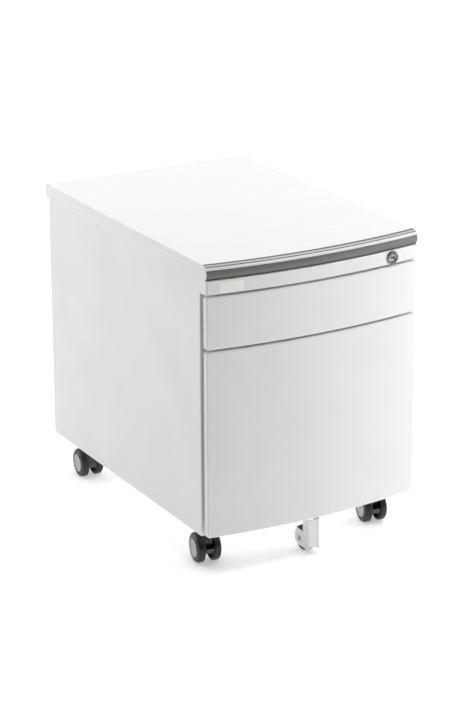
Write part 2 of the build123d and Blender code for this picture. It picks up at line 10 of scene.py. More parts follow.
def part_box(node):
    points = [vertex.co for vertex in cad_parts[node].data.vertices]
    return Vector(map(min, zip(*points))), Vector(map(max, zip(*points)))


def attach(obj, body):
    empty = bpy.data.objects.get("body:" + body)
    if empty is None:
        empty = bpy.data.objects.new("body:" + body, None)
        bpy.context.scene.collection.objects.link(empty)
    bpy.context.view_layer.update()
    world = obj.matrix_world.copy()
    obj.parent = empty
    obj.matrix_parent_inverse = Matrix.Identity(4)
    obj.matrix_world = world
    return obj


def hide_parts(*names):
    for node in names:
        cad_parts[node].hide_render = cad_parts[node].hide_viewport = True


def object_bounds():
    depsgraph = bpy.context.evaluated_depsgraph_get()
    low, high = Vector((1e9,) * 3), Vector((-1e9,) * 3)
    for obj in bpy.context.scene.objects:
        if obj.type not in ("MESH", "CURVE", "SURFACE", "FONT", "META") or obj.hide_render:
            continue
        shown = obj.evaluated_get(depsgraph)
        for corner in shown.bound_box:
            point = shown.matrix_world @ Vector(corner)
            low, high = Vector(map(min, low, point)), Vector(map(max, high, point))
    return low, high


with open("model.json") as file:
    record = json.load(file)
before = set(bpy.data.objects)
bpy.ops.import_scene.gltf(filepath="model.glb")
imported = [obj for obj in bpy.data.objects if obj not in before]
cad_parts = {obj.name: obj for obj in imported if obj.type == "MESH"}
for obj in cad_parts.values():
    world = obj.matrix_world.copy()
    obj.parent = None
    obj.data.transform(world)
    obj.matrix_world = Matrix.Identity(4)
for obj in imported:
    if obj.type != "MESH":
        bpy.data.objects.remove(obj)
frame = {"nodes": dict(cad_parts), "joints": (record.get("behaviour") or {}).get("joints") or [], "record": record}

# A mobile pedestal: a white steel carcass with two bowed drawer fronts, a laminated board with a grey
# nosing, a cylinder lock, four twin-wheel castors and an anti-tip wheel. The sheet metal is shown as it was
# packed; the nosing, edge bands, castors, tip wheel, lock and label plate are finer pieces made here.

CAD_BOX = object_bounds()
MM = 0.001

# ---------------------------------------------------------------- sizes and places
HALF = CAD_BOX[1][0]                 # half the top board's width
TIP_Y = CAD_BOX[0][1]                # foremost line of the nosing
SAGITTA = 19.0 * MM                  # how far the front bows
BOW = (HALF**2 + SAGITTA**2) / (2 * SAGITTA)     # radius of the nosing's tip line
BOW_CENTRE = TIP_Y + BOW
FACE = BOW - 1.0 * MM                # radius of the fascia's and the drawers' faces
BOARD_LOW, BOARD_HIGH = (corner[2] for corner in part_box("top_board"))
REAR_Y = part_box("board_edge_bands")[1][1]
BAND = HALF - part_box("top_board")[1][0]        # thickness of the edge bands
NOSE_DEPTH = 14.5 * MM               # board's front edge to the tip of the nosing
NOSE_DROP = 14.8 * MM                # top surface down to the tip
NOSE_UNDERCUT = 5.5 * MM             # tip back to the nosing's lower edge
STRIP_ANGLES = {"silver": (19.0, 34.0), "cream": (42.0, 64.0)}   # from the top surface, on the upper curve
PLUG_LOW, PLUG_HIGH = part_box("lock_core")
LOCK_X = (PLUG_LOW[0] + PLUG_HIGH[0]) / 2
LOCK_Z = (PLUG_LOW[2] + PLUG_HIGH[2]) / 2
JOINTS = {joint["name"]: joint for joint in frame["joints"]}
CASTORS = sorted(name.removesuffix("_swivel") for name in JOINTS if name.endswith("_swivel"))
TIP_CENTRE = np.array(JOINTS["tip_wheel_spin"]["pos_m"])
BORE = 3.05 * MM                     # running fit on a 6 mm axle


# ---------------------------------------------------------------- surfaces
def quads(points, round_rows=False, round_columns=False):
    """Faces between neighbouring points of a grid of rows and columns, closed round on itself where
    said."""
    rows, columns = points.shape[:2]
    index = np.arange(rows * columns).reshape(rows, columns)
    if round_rows:
        index = np.vstack([index, index[:1]])
    if round_columns:
        index = np.hstack([index, index[:, :1]])
    corners = [index[:-1, :-1], index[1:, :-1], index[1:, 1:], index[:-1, 1:]]
    return points.reshape(-1, 3), np.stack(corners, axis=-1).reshape(-1, 4)


def lid(points):
    """One flat face inside a loop of points."""
    return points.reshape(-1, 3), np.arange(len(points)).reshape(1, -1)


def piece(name, parts, body, material, replaces=(), sharp=38.0):
    """One closed piece from grids and lids. Doubles are joined and faces turned outwards; edges that turn
    by more than sharp degrees stay crisp."""
    starts = np.cumsum([0] + [len(points) for points, _ in parts])
    faces = sum(((indices + start).tolist() for (_, indices), start in zip(parts, starts)), [])
    mesh = bpy.data.meshes.new(name)
    mesh.from_pydata(np.concatenate([points for points, _ in parts]).tolist(), [], faces)
    work = bmesh.new()
    work.from_mesh(mesh)
    bmesh.ops.remove_doubles(work, verts=work.verts, dist=1e-6)
    bmesh.ops.recalc_face_normals(work, faces=work.faces)
    work.to_mesh(mesh)
    work.free()
    mesh.shade_smooth()
    mesh.set_sharp_from_angle(angle=math.radians(sharp))
    mesh.materials.append(material)
    made = bpy.data.objects.new(name, mesh)
    bpy.context.scene.collection.objects.link(made)
    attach(made, body)
    if replaces:
        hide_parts(*replaces)
    return made


def bowed(profile, stations):
    """Carries a profile round the bow. A profile point is (distance from the bow's centre line, height); at
    each x its depth is the centre less the root of distance squared minus x squared."""
    radius, height = np.asarray(profile, float).T
    x = np.asarray(stations, float)[:, None] + 0 * radius
    return np.stack([x, BOW_CENTRE - np.sqrt(radius**2 - x**2), height + 0 * x], axis=-1)


def turned(profile, centre, axis, steps=72):
    """Turns a profile of (radius, distance along the axis) about an axis through centre: each point becomes
    a ring, centre plus distance times the axis plus radius times (cosine of one side, sine of the
    other)."""
    radius, along = np.asarray(profile, float).T
    axis = np.array(axis, float) / np.linalg.norm(axis)
    aside = np.cross(axis, (0.0, 0.0, 1.0) if abs(axis[2]) < 0.9 else (1.0, 0.0, 0.0))
    aside /= np.linalg.norm(aside)
    other = np.cross(axis, aside)
    angle = np.linspace(0, 2 * np.pi, steps, endpoint=False)[:, None, None]
    return (np.asarray(centre, float) + along[None, :, None] * axis
            + radius[None, :, None] * (np.cos(angle) * aside + np.sin(angle) * other))


def shrunk(loop, distance):
    """A closed flat loop moved inwards by a distance, along the mean of each point's two edge normals."""
    before, after = np.roll(loop, 1, axis=0), np.roll(loop, -1, axis=0)
    edges = np.stack([loop - before, after - loop])
    edges /= np.linalg.norm(edges, axis=-1, keepdims=True)
    normal = np.stack([edges[..., 1], -edges[..., 0]], axis=-1)
    bisector = normal.sum(axis=0)
    bisector /= (bisector * normal[0]).sum(axis=-1, keepdims=True)
    area = np.sum(loop[:, 0] * after[:, 1] - after[:, 0] * loop[:, 1])
    return loop - np.sign(area) * distance * bisector


def rounded(corners, ease):
    """A chain of corners with each inner one eased: a quadratic curve from ease before it to ease after it,
    (1 - t) squared times the first end, plus 2 t (1 - t) times the corner, plus t squared times the
    other."""
    corner = corners[1:-1]
    ends = np.stack([corners[:-2], corners[2:]]) - corner
    before, after = corner + ease * ends / np.linalg.norm(ends, axis=-1, keepdims=True)
    t = np.linspace(0, 1, 4)[None, :, None]
    curve = (1 - t) ** 2 * before[:, None] + 2 * t * (1 - t) * corner[:, None] + t**2 * after[:, None]
    return curve.reshape(-1, 2)


def arc(centre, radius, start, end, steps=10):
    """Points on an arc, angles in degrees."""
    angle = np.radians(np.linspace(start, end, steps))
    return np.stack([centre[0] + radius * np.cos(angle), centre[1] + radius * np.sin(angle)], axis=-1)


def eased_slab(loop, low, high, ease, place, steps=4):
    """A flat loop carried from low to high with rounded rims: near each end it shrinks by ease times one
    minus the cosine while it rises by ease times the sine. place puts (loop, level) into the frame."""
    angle = np.linspace(0, np.pi / 2, steps)
    inset = ease * (1 - np.sin(angle))
    rise = ease * (1 - np.cos(angle))
    levels = np.concatenate([low + rise, (high - rise)[::-1]])
    insets = np.concatenate([inset, inset[::-1]])
    grid = np.stack([place(shrunk(loop, d), level) for d, level in zip(insets, levels)])
    return [quads(grid, round_columns=True), lid(grid[0]), lid(grid[-1])]


# ---------------------------------------------------------------- nodes, colours and coordinates
def linear(hex_colour):
    """An sRGB hex colour as linear red, green, blue and alpha."""
    parts = [int(hex_colour[i:i + 2], 16) / 255 for i in (1, 3, 5)]
    return [c / 12.92 if c <= 0.04045 else ((c + 0.055) / 1.055) ** 2.4 for c in parts] + [1.0]


def add(material, kind, settings=None, links=None, stops=()):
    """Adds a node: settings are attributes or input values, links are input name: (node, output name), and
    stops are a colour ramp's (position, hex colour) pairs."""
    tree = material.node_tree
    node = tree.nodes.new(kind)
    for key, value in (settings or {}).items():
        if isinstance(key, str) and hasattr(node, key):
            setattr(node, key, value)
        else:
            node.inputs[key].default_value = value
    for key, (source, output) in (links or {}).items():
        tree.links.new(source.outputs[output], node.inputs[key])
    for number, (position, colour) in enumerate(stops):
        elements = node.color_ramp.elements
        stop = elements[number] if number < len(elements) else elements.new(position)
        stop.position = position
        stop.color = linear(colour)
    return node


def finish(name, height, tone, stops, roughness, bump, depth_mm, **sockets):
    """A material whose relief and colour are patterns on the piece's own coordinates. height and tone are
    functions of (material, coordinates) that give a node and its output; without a tone, height colours it
    too. The relief also moves the roughness between its two values."""
    material = bpy.data.materials.new(name)
    material.use_nodes = True
    material.node_tree.nodes.clear()
    place = add(material, "ShaderNodeTexCoord")
    relief = height(material, place)
    shade = tone(material, place) if tone else relief
    colour = add(material, "ShaderNodeValToRGB", links={"Fac": shade}, stops=stops)
    gloss = add(material, "ShaderNodeMapRange", {"To Min": roughness[0], "To Max": roughness[1]},
                {"Value": relief})
    slope = add(material, "ShaderNodeBump", {"Strength": bump, "Distance": depth_mm * MM},
                {"Height": relief})
    surface = {"Base Color": (colour, "Color"), "Roughness": (gloss, "Result"), "Normal": (slope, "Normal")}
    shader = add(material, "ShaderNodeBsdfPrincipled", sockets, surface)
    add(material, "ShaderNodeOutputMaterial", links={"Surface": (shader, "BSDF")})
    return material


def grain(size_mm, detail=3.0, stretch=(1.0, 1.0, 1.0), rough=0.55):
    """Cloudy noise with that spacing; stretch draws it out along an axis by that many times."""
    def nodes(material, place):
        scaled = add(material, "ShaderNodeMapping", {"Scale": [1 / (size_mm * MM * s) for s in stretch]},
                     {"Vector": (place, "Object")})
        noise = add(material, "ShaderNodeTexNoise", {"Scale": 1.0, "Detail": detail, "Roughness": rough},
                    {"Vector": (scaled, "Vector")})
        return noise, "Fac"
    return nodes


def mixed(first, second, share):
    """Two patterns blended: the first times one minus share, plus the second times share."""
    def nodes(material, place):
        one, two = first(material, place), second(material, place)
        node = add(material, "ShaderNodeMix", {"data_type": "FLOAT", "Factor": share}, {2: one, 3: two})
        return node, "Result"
    return nodes


def rings(centre, axis, spacing_mm):
    """Fine turned rings about an axis through centre: a wave of the distance from that axis."""
    def nodes(material, place):
        moved = add(material, "ShaderNodeMapping", {"Location": [-c for c in centre]},
                    {"Vector": (place, "Object")})
        across = [0.0 if abs(a) > 0.5 else 1.0 for a in axis]
        flat = add(material, "ShaderNodeVectorMath", {"operation": "MULTIPLY", 1: across},
                   {0: (moved, "Vector")})
        length = add(material, "ShaderNodeVectorMath", {"operation": "LENGTH"}, {0: (flat, "Vector")})
        turns = 2 * math.pi / (spacing_mm * MM)
        phase = add(material, "ShaderNodeMath", {"operation": "MULTIPLY", 1: turns}, {0: (length, "Value")})
        wave = add(material, "ShaderNodeMath", {"operation": "SINE"}, {0: (phase, "Value")})
        positive = add(material, "ShaderNodeMath", {"operation": "MULTIPLY_ADD", 1: 0.5, 2: 0.5},
                       {0: (wave, "Value")})
        return positive, "Value"
    return nodes


# ---------------------------------------------------------------- materials
def powder_coat(name, light, dark):
    """Polyester powder coat on steel sheet, sprayed and baked: a pebbled skin with a soft, even sheen and
    almost no change of colour. The real peel is about 0.4 mm across; it is drawn at 1.5 mm, as fine as
    shows."""
    peel = grain(1.5, detail=4.0, rough=0.62)
    clouds = grain(120.0, detail=2.0)
    return finish(name, peel, mixed(peel, clouds, 0.4), [(0.3, dark), (0.66, light)],
                  roughness=(0.40, 0.56), bump=0.16, depth_mm=0.25, IOR=1.5)


def laminate():
    """Melamine laminate, pressed against a plate: a matt, nearly plain white with faint streaks along the
    board's width. The streaks are 3 mm apart; the plate's 0.2 mm pores are drawn at 1.2 mm so that they
    show."""
    streaks = grain(3.0, detail=4.0, stretch=(45.0, 1.0, 1.0))
    pores = grain(1.2, detail=2.0)
    return finish("melamine_laminate_pressed", pores, mixed(pores, streaks, 0.75),
                  [(0.36, "#eeeeee"), (0.6, "#f2f2f1")], roughness=(0.44, 0.55), bump=0.08, depth_mm=0.12,
                  IOR=1.5)


def extrusion(name, light, dark, roughness, pitch_mm, **sockets):
    """ABS or a foil drawn through a die: satin, with fine lines along its length that stretch the
    highlights. The real lines are about 0.2 mm apart; they are drawn pitch_mm apart so that they show."""
    lines = grain(pitch_mm, detail=3.0, stretch=(160.0, 160.0, 1.0))
    dust = grain(0.9, detail=2.0)
    return finish(name, mixed(lines, dust, 0.3), mixed(lines, dust, 0.25), [(0.32, dark), (0.64, light)],
                  roughness=roughness, bump=0.22, depth_mm=0.15, **sockets)


def zinc_plate():
    """Rolled steel strip with bright zinc plate: cold grey and fairly glossy, with faint rolling lines,
    drawn 0.8 mm apart so that they show, and 7 mm clouds where the crystals differ."""
    lines = grain(0.8, detail=3.0, stretch=(1.0, 60.0, 1.0))
    crystals = grain(7.0, detail=3.0)
    return finish("zinc_plated_steel", lines, mixed(lines, crystals, 0.5),
                  [(0.3, "#a3a8ab"), (0.5, "#bcc0c2"), (0.68, "#cfd2d3")], roughness=(0.14, 0.28), bump=0.1,
                  depth_mm=0.1, Metallic=1.0)


def turned_metal(name, centre, axis, light, dark, roughness, spacing_mm=0.5):
    """Zinc casting or rivet, turned and plated: its rings catch the light as two bright fans. The cutter's
    feed is about 0.1 mm; the rings are drawn spacing_mm apart so that they show."""
    marks = rings(centre, axis, spacing_mm)
    wipe = grain(2.5, detail=3.0)
    return finish(name, marks, mixed(marks, wipe, 0.6), [(0.25, dark), (0.75, light)], roughness=roughness,
                  bump=0.12, depth_mm=0.05, Metallic=1.0)


def moulded(name, light, dark, roughness, coat=0.0, pitch_mm=1.1):
    """Injection-moulded polyamide or polyurethane: an even skin whose spark-eroded texture softens
    highlights. The real texture is about 0.1 mm; it is drawn pitch_mm across so that it shows."""
    skin = grain(pitch_mm, detail=3.0)
    flow = grain(18.0, detail=2.0)
    return finish(name, skin, mixed(skin, flow, 0.5), [(0.3, dark), (0.68, light)], roughness=roughness,
                  bump=0.14, depth_mm=0.12, **{"IOR": 1.52, "Coat Weight": coat, "Coat Roughness": 0.12})


def make_materials():
    """One material for each slot of the record, and those that only single pieces wear."""
    lock_place = (LOCK_X, 0.0, LOCK_Z)
    return {
        "white_powder_coat": powder_coat("powder_coat_white", "#edefee", "#e4e6e5"),
        "drawer_paint": powder_coat("powder_coat_drawer_white", "#e6e8e8", "#dcdfde"),
        "board_laminate": laminate(),
        "board_edge": extrusion("abs_edge_band", "#eeeeee", "#e2e2e2", (0.38, 0.52), 1.6, IOR=1.5),
        "nosing_grey": extrusion("abs_extrusion_grey", "#727274", "#646466", (0.38, 0.52), 2.0, IOR=1.5),
        # foils pressed onto the nosing's strips: a brushed silver, and a champagne that barely shines
        "nosing_metallic": extrusion("foil_brushed_silver", "#d2d1d6", "#b9b8bf", (0.34, 0.48), 1.1,
                                     Metallic=0.2),
        "cream_foil": extrusion("foil_brushed_champagne", "#f2f0e8", "#dedbd0", (0.4, 0.54), 1.0,
                                Metallic=0.0),
        # stoved enamel on the label's thin plate: the coat's skin in a warmer white
        "label_enamel": powder_coat("enamel_cream", "#fdfaf6", "#f9f5f0"),
        "zinc_steel": zinc_plate(),
        # the lock's plug is nickel plated, its housing black nickel
        "lock_chrome": turned_metal("zinc_casting_nickel_plated", lock_place, (0, 1, 0), "#c2c0bb",
                                    "#8d8b86", (0.14, 0.26)),
        "lock_dark": turned_metal("zinc_casting_black_nickel", lock_place, (0, 1, 0), "#8f8d88", "#5d5b58",
                                  (0.12, 0.24)),
        # near-black plate inside the keyway: painted shade of the keyway's depth
        "keyway_shade_black": moulded("keyway_painted_shade_black", "#101012", "#060607", (0.2, 0.3), pitch_mm=0.8),
        "rivet_zinc": turned_metal("zinc_plated_rivet", TIP_CENTRE, (1, 0, 0), "#b9c3cb", "#8d99a3",
                                   (0.24, 0.38)),
        "tip_wheel_black": moulded("polyamide_black", "#252527", "#161618", (0.38, 0.52)),
        # castor housings come out of a polished mould, their treads out of a dull one
        "castor_nylon": moulded("polyamide_black_polished", "#0f0f11", "#070708", (0.12, 0.22), coat=0.7),
        "castor_tread": moulded("polyurethane_tread_black", "#131315", "#0a0a0b", (0.34, 0.46)),
        "castor_cap_grey": moulded("polyamide_silver_grey", "#b4b8bb", "#a0a4a8", (0.26, 0.38)),
    }


# ---------------------------------------------------------------- board, nosing and bands
def nose_curve(angles):
    """Points of the nosing's upper quarter ellipse, angles in degrees from the top surface: from its
    centre, the depth times the sine forwards and the drop times the cosine upwards."""
    a = np.radians(angles)
    distance = BOW - NOSE_DEPTH + NOSE_DEPTH * np.sin(a)
    return np.stack([distance, BOARD_HIGH - NOSE_DROP + NOSE_DROP * np.cos(a)], axis=-1)


def nose_underside(steps=12):
    """From the tip down to the lower edge: the set-back grows with the square of the way down."""
    t = np.linspace(0, 1, steps)[1:]
    height = BOARD_HIGH - NOSE_DROP + (BOARD_LOW - BOARD_HIGH + NOSE_DROP) * t
    return np.stack([BOW - NOSE_UNDERCUT * t**2, height], axis=-1)


def make_nosing(materials):
    """Grey extrusion between the end bands, with two troughs that hold the metallic strips. The profile is
    the upper quarter ellipse, sunk towards its centre where the troughs are, then the underside; it is
    carried round the bow. A strip's outer line rises by a sine between its edges."""
    trough, crown, chamfer = 1.2 * MM, 0.18 * MM, 0.25 * MM
    seam = 0.4                           # degrees left open beside each strip
    stations = np.linspace(BAND - HALF, HALF - BAND, 121)
    centre = np.array([BOW - NOSE_DEPTH, BOARD_HIGH - NOSE_DROP])
    outline = []
    last = 0.0
    for low, high in STRIP_ANGLES.values():
        outline.append(nose_curve(np.linspace(last, low - seam, 8)))
        sunk = nose_curve(np.linspace(low - seam, high + seam, 8))
        away = (sunk - centre) / np.linalg.norm(sunk - centre, axis=-1, keepdims=True)
        outline.append(sunk - trough * away)
        last = high + seam
    outline.append(nose_curve(np.linspace(last, 90, 12)))
    outline.append(nose_underside())
    outline.append(np.array([[BOW - NOSE_DEPTH, BOARD_LOW]]))
    grid = bowed(np.concatenate(outline), stations)
    parts = [quads(grid, round_columns=True), lid(grid[0]), lid(grid[-1])]
    piece("nosing", parts, "cabinet", materials["nosing_grey"], ["nosing_profile"], sharp=25)
    for strip, (low, high) in STRIP_ANGLES.items():
        angles = np.linspace(low, high, 9)
        outer = nose_curve(angles)
        away = (outer - centre) / np.linalg.norm(outer - centre, axis=-1, keepdims=True)
        rise = crown * np.sin(np.pi * (angles - low) / (high - low))
        rise[[0, -1]] -= chamfer
        loop = np.concatenate([outer + rise[:, None] * away, (outer - trough * away)[::-1]])
        grid = bowed(loop, stations)
        parts = [quads(grid, round_columns=True), lid(grid[0]), lid(grid[-1])]
        material = materials["nosing_metallic" if strip == "silver" else "cream_foil"]
        piece(f"nosing_strip_{strip}", parts, "cabinet", material, ["nosing_inlays"],
              sharp=25)


def side_band(sign, ease):
    """Rings of a side band from its inner to its outer face. Each is the board's outline at that x, with
    the nosing's curve in front; the outer ones shrink by ease times one minus the cosine while they move
    out by ease times the sine."""
    front = np.concatenate([nose_curve(np.linspace(0, 90, 25)), nose_underside()])
    angle = np.linspace(0, np.pi / 2, 4)
    insets = np.append(0.0, ease * (1 - np.cos(angle)))
    outs = np.append(HALF - BAND, HALF - ease + ease * np.sin(angle))
    loops = []
    for inset, out in zip(insets, outs):
        depth = BOW_CENTRE - np.sqrt(front[:, 0] ** 2 - out**2)
        loop = np.concatenate([[[REAR_Y - BAND, BOARD_HIGH]], np.stack([depth, front[:, 1]], axis=-1),
                               [[REAR_Y - BAND, BOARD_LOW]]])
        loop = shrunk(loop, inset) if inset else loop
        loops.append(np.stack([np.full(len(loop), sign * out), loop[:, 0], loop[:, 1]], axis=-1))
    return np.stack(loops)


def upright(loop, y):
    """A flat loop of (x, height) stood up at depth y."""
    return np.stack([loop[:, 0], np.full(len(loop), y), loop[:, 1]], axis=-1)


def make_edge_bands(materials):
    """The side bands follow the board and the nosing's outline; the rear band closes the back. Their outer
    rims are rounded by the trimming cutter."""
    ease = 0.6 * MM
    for side, sign in (("left", -1), ("right", 1)):
        grid = side_band(sign, ease)
        parts = [quads(grid, round_columns=True), lid(grid[0]), lid(grid[-1])]
        piece(f"edge_band_{side}", parts, "cabinet", materials["board_edge"],
              ["board_edge_bands"], sharp=40)
    rear = np.array([[-HALF, BOARD_LOW], [HALF, BOARD_LOW], [HALF, BOARD_HIGH], [-HALF, BOARD_HIGH]])
    parts = eased_slab(rear, REAR_Y - BAND, REAR_Y, ease, upright)
    piece("edge_band_rear", parts, "cabinet", materials["board_edge"], ["board_edge_bands"])


# ---------------------------------------------------------------- castors
def castor_wheel_profile(hub, radius, half, cap_radius, cap_seat):
    """Section of a wheel as (radius, distance outwards from its middle): bore, open inner web, rounded
    tread, a fine joint where the soft tread meets the core, and the seat for the cap."""
    shoulder, inner_round = 5.2 * MM, 2.2 * MM
    web, groove = -0.8 * MM, 0.35 * MM
    rim = radius - 4.2 * MM
    joint = radius - 5.4 * MM
    outer = arc((radius - shoulder, half - shoulder), shoulder, 0, 88, 12)
    inner = arc((radius - inner_round, -half + inner_round), inner_round, -90, 0, 7)
    along = np.linspace(-half + inner_round, half - shoulder, 7)[1:-1]
    tread = np.stack([np.full(len(along), radius), along], axis=-1)
    return np.concatenate([
        [[BORE, cap_seat], [BORE, -half], [hub, -half], [hub, web], [rim, web], [rim, -half]],
        inner, tread, outer,
        [[joint + groove, half - 0.05 * MM], [joint, half - groove], [joint - groove, half - 0.05 * MM],
         [cap_radius + 0.5 * MM, half], [cap_radius + 0.2 * MM, half - 0.3 * MM],
         [cap_radius + 0.2 * MM, cap_seat]],
    ])


def castor_cap_profile(radius, seat, top):
    """Section of a hub cap: a raised, rounded rim round a dished face with a shallow button in the
    middle."""
    rim = arc((radius - 0.8 * MM, top - 0.8 * MM), 0.8 * MM, 0, 90, 6)
    return np.concatenate([
        [[0.0, seat], [radius - 0.2 * MM, seat], [radius, seat + 0.2 * MM]], rim,
        [[radius - 2.0 * MM, top], [radius - 2.5 * MM, top - 0.8 * MM], [radius - 3.2 * MM, top - 1.0 * MM],
         [5.4 * MM, top - 1.0 * MM], [4.8 * MM, top - 0.6 * MM], [4.0 * MM, top - 0.5 * MM],
         [0.0, top - 0.45 * MM]],
    ])


def housing_outline(reach, z, drum, neck_top, socket):
    """Side view of a castor's housing as (ahead, height): a drum round the axle, whose hood comes forward
    between the wheels and slopes back up to the stem's socket."""
    drop = 6.0 * MM                      # hood's lower edge, below the axle
    low = z - drop
    meets = reach + math.sqrt(drum**2 - drop**2)
    front = reach + 24.0 * MM
    corners = np.array([
        (meets, low), (front - 1.5 * MM, low), (front, low + 1.5 * MM), (front, z + 3.0 * MM),
        (reach + 16.06 * MM, z + 17.84 * MM), (9.0 * MM, neck_top), (-socket, neck_top), (reach - drum, z)])
    under = arc((reach, z), drum, 180, 360 - math.degrees(math.asin(drop / drum)), 26)
    return np.concatenate([under, rounded(corners, 0.9 * MM)])


def make_wheel(name, side, outward, materials):
    """A castor's wheel and its hub cap, both turned about the spin axis."""
    centre = np.array(JOINTS[f"{name}_wheel_{side}_spin"]["pos_m"])
    low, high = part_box(f"{name}_wheel_{side}")
    cap_low, cap_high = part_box(f"{name}_cap_{side}")
    radius, cap_radius = (high[2] - low[2]) / 2, (cap_high[2] - cap_low[2]) / 2
    half, seat, cap_top = 6.75 * MM, 4.75 * MM, 8.35 * MM
    body = f"{name}_wheel_{side}_body"
    tyre = castor_wheel_profile(7.0 * MM, radius, half, cap_radius, seat)
    parts = [quads(turned(tyre, centre, outward, 96), round_rows=True, round_columns=True)]
    piece(f"{name}_tyre_{side}", parts, body, materials["castor_tread"],
          [f"{name}_wheel_{side}"], sharp=30)
    cap = castor_cap_profile(cap_radius, seat, cap_top)
    parts = [quads(turned(cap, centre, outward, 72), round_rows=True, round_columns=True)]
    piece(f"{name}_hub_cap_{side}", parts, body, materials["castor_cap_grey"],
          [f"{name}_cap_{side}"], sharp=30)


def make_castor(name, materials):
    """Two wheels with caps on one axle, either side of the housing that swivels on the stem. The housing is
    its side view carried across the axle, and a collar turned about the stem."""
    pivot = np.array(JOINTS[f"{name}_swivel"]["pos_m"]) * (1, 1, 0)
    left, right = (np.array(JOINTS[f"{name}_wheel_{side}_spin"]["pos_m"]) for side in ("l", "r"))
    axis = (right - left) / np.linalg.norm(right - left)
    make_wheel(name, "l", -axis, materials)
    make_wheel(name, "r", axis, materials)
    middle = (left + right) / 2
    trail = (middle - pivot) * (1, 1, 0)
    reach = np.linalg.norm(trail)
    ahead = trail / reach
    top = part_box(f"{name}_body")[1][2]
    half_width, drum = 7.8 * MM, 15.0 * MM
    socket, neck_top = 11.0 * MM, 57.6 * MM
    outline = housing_outline(reach, middle[2], drum, neck_top, socket)

    def across(loop, level):
        return pivot + loop[:, :1] * ahead + level * axis + loop[:, 1:] * np.array([0.0, 0.0, 1.0])

    parts = eased_slab(outline, -half_width, half_width, 0.7 * MM, across)
    collar = np.concatenate([
        [[5.05 * MM, neck_top - 4 * MM], [socket - 0.8 * MM, neck_top - 1 * MM], [socket, neck_top]],
        arc((socket - 1.4 * MM, top - 1.4 * MM), 1.4 * MM, 0, 90, 6),
        [[5.05 * MM, top]],
    ])
    parts.append(quads(turned(collar, pivot, (0, 0, 1), 48), round_rows=True, round_columns=True))
    piece(f"{name}_housing", parts, name, materials["castor_nylon"], [f"{name}_body"],
          sharp=35)


# ---------------------------------------------------------------- anti-tip wheel
def make_tip_wheel(materials):
    """Solid roller with rounded shoulders, and the rivet it runs on, whose heads have a driver's socket.
    Both are half sections turned about the axle."""
    low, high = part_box("tip_wheel")
    radius, half = (high[2] - low[2]) / 2, (high[0] - low[0]) / 2
    ease, sunk = 4.0 * MM, 0.6 * MM      # shoulder radius, and how far the web lies below the hub and rim
    side = np.array([(BORE, half), (7.0 * MM, half), (8.0 * MM, half - sunk),
                     (radius - 6.5 * MM, half - sunk), (radius - 5.5 * MM, half)])
    roller = np.concatenate([
        side * (1, -1), arc((radius - ease, -half + ease), ease, -90, 0, 9),
        arc((radius - ease, half - ease), ease, 0, 90, 9), side[::-1],
    ])
    parts = [quads(turned(roller, TIP_CENTRE, (1, 0, 0), 96), round_rows=True, round_columns=True)]
    piece("tip_roller", parts, "tip_wheel_body", materials["tip_wheel_black"],
          ["tip_wheel"], sharp=30)
    cheek = 12.0 * MM                    # outside of the bracket's cheeks, from the middle
    head = np.array([(3.0, 0.0), (5.0, 0.0), (5.2, 0.2), (5.2, 0.9), (5.0, 1.35), (4.5, 1.6), (3.1, 1.6),
                     (2.8, 1.3), (2.6, 0.4), (0.0, 0.4)]) * MM
    head[:, 1] += cheek
    rivet = np.concatenate([head[::-1] * (1, -1), head])
    parts = [quads(turned(rivet, TIP_CENTRE, (1, 0, 0), 48), round_rows=True)]
    piece("tip_rivet", parts, "file_drawer", materials["rivet_zinc"], ["tip_axle"], sharp=30)


# ---------------------------------------------------------------- lock and label
def make_lock_barrel(materials):
    """Black-nickel housing turned about the lock's axis; the back of its bezel is laid on the bowed
    face."""
    low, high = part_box("lock_housing")
    length, gap = high[1] - low[1], 0.02 * MM
    bore, outer, barrel, bezel_depth = 6.55 * MM, 12.0 * MM, 9.0 * MM, 3.0 * MM
    section = np.concatenate([
        [[bore, length], [bore, 1.2 * MM], [bore + 0.5 * MM, 0.5 * MM], [bore + 1.7 * MM, 0.0]],
        arc((outer - 2.2 * MM, 2.2 * MM), 2.2 * MM, -85, 0, 9),
        [[outer, bezel_depth], [barrel, bezel_depth], [barrel, length]],
    ])
    grid = turned(section, (LOCK_X, low[1], LOCK_Z), (0, 1, 0), 72)
    grid[:, -3:-1, 1] = BOW_CENTRE - np.sqrt(FACE**2 - grid[:, -3:-1, 0] ** 2) - gap
    parts = [quads(grid, round_rows=True, round_columns=True)]
    piece("lock_barrel", parts, "cabinet", materials["lock_dark"], ["lock_housing"], sharp=35)


